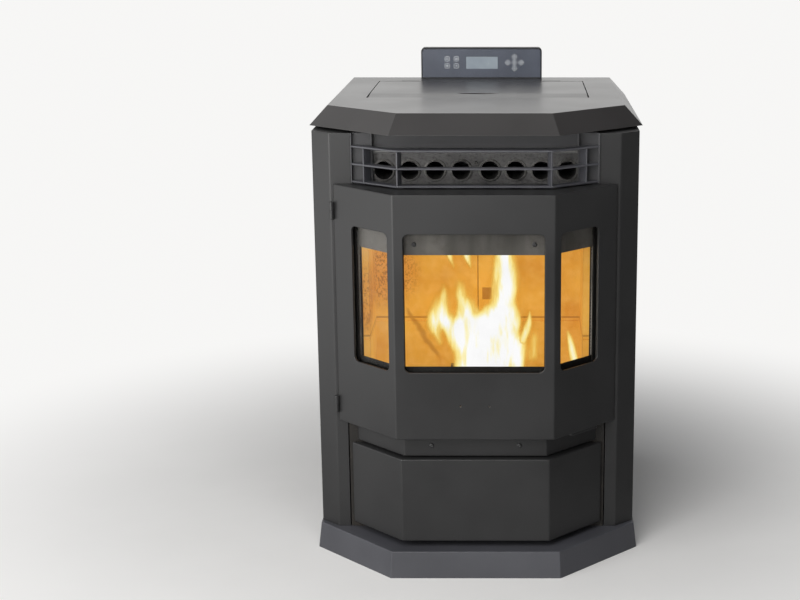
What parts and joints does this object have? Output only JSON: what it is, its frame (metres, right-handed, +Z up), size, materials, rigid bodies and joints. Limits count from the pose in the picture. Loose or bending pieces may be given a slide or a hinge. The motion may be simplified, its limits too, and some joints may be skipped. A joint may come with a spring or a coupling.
{
  "type": "pellet stove",
  "caption": "Free-standing wood pellet stove with a bay-shaped glazed door, ash drawer, warm air outlet with heat exchanger tubes, top-loading hopper and a control head.",
  "frame": {"origin": "centre of the footprint at floor level, in x and y the middle of the overall size", "axes": "+Z up, +Y towards the back of the stove, +X to the right as seen from the front"},
  "size_m": [0.622, 0.784, 0.921],
  "materials": {
    "casing_paint": "satin high temperature stove paint",
    "cap_paint": "satin high temperature stove paint",
    "fire_paint": "matte heat-stained stove paint",
    "inner_steel": "matte zinc coat",
    "bare_steel": "bare steel, slightly dulled",
    "tube_steel": "heat-tinted bare steel",
    "iron": "ash-dusted cast iron",
    "brick": "matte, sooted and glowing in firelight",
    "rope": "woven, matte",
    "pane": "clear ceramic glass with a light smoke tint",
    "housing_plastic": "fine texture",
    "fascia_film": "smooth satin film",
    "display": "smooth, clear cover over a grey display",
    "key_rubber": "smooth dark film over silicone",
    "board_green": "solder mask",
    "motor_paint": "satin",
    "ceramic_rod": "matte"
  },
  "bodies": {
    "stove": {"air_intake": "inner_steel", "ash_compartment": "fire_paint", "auger_motor": "motor_paint", "auger_tube": "inner_steel", "back_panel": "inner_steel", "burn_pot": "iron", "casing_screws": "casing_paint", "control_board": "board_green", "control_fascia": "fascia_film", "control_housing": "housing_plastic", "door_hinge": "casing_paint", "exhaust_blower_housing": "inner_steel", "exhaust_blower_motor": "motor_paint", "firebox": "fire_paint", "firebox_front": "fire_paint", "firebricks": "brick", "flue_collar": "inner_steel", "heat_tubes": "tube_steel", "hopper": "inner_steel", "igniter": "ceramic_rod", "lcd_window": "display", "lid_hinge": "casing_paint", "outlet_frame": "fire_paint", "outlet_grille": "casing_paint", "plinth": "casing_paint", "power_inlet": "housing_plastic", "recess_panel": "casing_paint", "side_panel_left": "casing_paint", "side_panel_right": "casing_paint", "top_cap": "cap_paint", "tube_plate": "tube_steel", "warm_air_duct": "inner_steel", "warm_blower_housing": "inner_steel", "warm_blower_motor": "motor_paint"},
    "door": {"door_shell": "casing_paint", "door_frame": "fire_paint", "door_glass": "pane", "glass_retainers": "inner_steel", "glass_rope": "rope", "door_rope": "rope", "air_wash_plate": "fire_paint", "glass_sill": "fire_paint", "wash_plate_screws": "casing_paint"},
    "door_latch": {"door_latch": "casing_paint"},
    "hopper_lid": {"hopper_lid": "cap_paint"},
    "ash_drawer": {"drawer_front": "casing_paint", "ash_pan": "inner_steel"},
    "tube_scraper": {"tube_scraper": "tube_steel"},
    "auger": {"auger_screw": "bare_steel"},
    "exhaust_wheel": {"exhaust_blower_wheel": "bare_steel"},
    "warm_wheel": {"warm_blower_wheel": "bare_steel"},
    "key_upper_left": {"key_upper_left": "key_rubber"},
    "key_upper_right": {"key_upper_right": "key_rubber"},
    "key_lower_left": {"key_lower_left": "key_rubber"},
    "key_lower_right": {"key_lower_right": "key_rubber"},
    "nav_key_centre": {"nav_key_centre": "key_rubber"},
    "nav_key_left": {"nav_key_left": "key_rubber"},
    "nav_key_right": {"nav_key_right": "key_rubber"},
    "nav_key_up": {"nav_key_up": "key_rubber"},
    "nav_key_down": {"nav_key_down": "key_rubber"}
  },
  "joints": [
    {"name": "door_hinge", "type": "hinge", "parent": "stove", "child": "door", "pos_m": [-0.2645, -0.2645, 0.494], "axis": [0, 0, -1], "range_deg": [0, 105]},
    {"name": "door_latch_turn", "type": "hinge", "parent": "door", "child": "door_latch", "pos_m": [0.222, -0.283, 0.267], "axis": [0, 0, 1], "range_deg": [0, 90]},
    {"name": "hopper_lid_hinge", "type": "hinge", "parent": "stove", "child": "hopper_lid", "pos_m": [0, 0.254, 0.8515], "axis": [-1, 0, 0], "range_deg": [0, 75]},
    {"name": "ash_drawer_slide", "type": "slide", "parent": "stove", "child": "ash_drawer", "axis": [0, -1, 0], "range_m": [0, 0.15]},
    {"name": "tube_scraper_slide", "type": "slide", "parent": "stove", "child": "tube_scraper", "axis": [0, -1, 0], "range_m": [0, 0.05]},
    {"name": "auger_turn", "type": "hinge", "parent": "stove", "child": "auger", "pos_m": [0, -0.028, 0.69], "axis": [0, 0.7071, -0.7071], "continuous": true},
    {"name": "exhaust_wheel_turn", "type": "hinge", "parent": "stove", "child": "exhaust_wheel", "pos_m": [-0.165, 0.185, 0.205], "axis": [1, 0, 0], "continuous": true},
    {"name": "warm_wheel_turn", "type": "hinge", "parent": "stove", "child": "warm_wheel", "pos_m": [0.12, 0.178, 0.172], "axis": [1, 0, 0], "continuous": true},
    {"name": "key_upper_left_press", "type": "slide", "parent": "stove", "child": "key_upper_left", "axis": [0, 1, 0], "range_m": [0, 0.0008], "stiffness_N_per_m": 300},
    {"name": "key_upper_right_press", "type": "slide", "parent": "stove", "child": "key_upper_right", "axis": [0, 1, 0], "range_m": [0, 0.0008], "stiffness_N_per_m": 300},
    {"name": "key_lower_left_press", "type": "slide", "parent": "stove", "child": "key_lower_left", "axis": [0, 1, 0], "range_m": [0, 0.0008], "stiffness_N_per_m": 300},
    {"name": "key_lower_right_press", "type": "slide", "parent": "stove", "child": "key_lower_right", "axis": [0, 1, 0], "range_m": [0, 0.0008], "stiffness_N_per_m": 300},
    {"name": "nav_key_centre_press", "type": "slide", "parent": "stove", "child": "nav_key_centre", "axis": [0, 1, 0], "range_m": [0, 0.0008], "stiffness_N_per_m": 300},
    {"name": "nav_key_left_press", "type": "slide", "parent": "stove", "child": "nav_key_left", "axis": [0, 1, 0], "range_m": [0, 0.0008], "stiffness_N_per_m": 300},
    {"name": "nav_key_right_press", "type": "slide", "parent": "stove", "child": "nav_key_right", "axis": [0, 1, 0], "range_m": [0, 0.0008], "stiffness_N_per_m": 300},
    {"name": "nav_key_up_press", "type": "slide", "parent": "stove", "child": "nav_key_up", "axis": [0, 1, 0], "range_m": [0, 0.0008], "stiffness_N_per_m": 300},
    {"name": "nav_key_down_press", "type": "slide", "parent": "stove", "child": "nav_key_down", "axis": [0, 1, 0], "range_m": [0, 0.0008], "stiffness_N_per_m": 300}
  ]
}
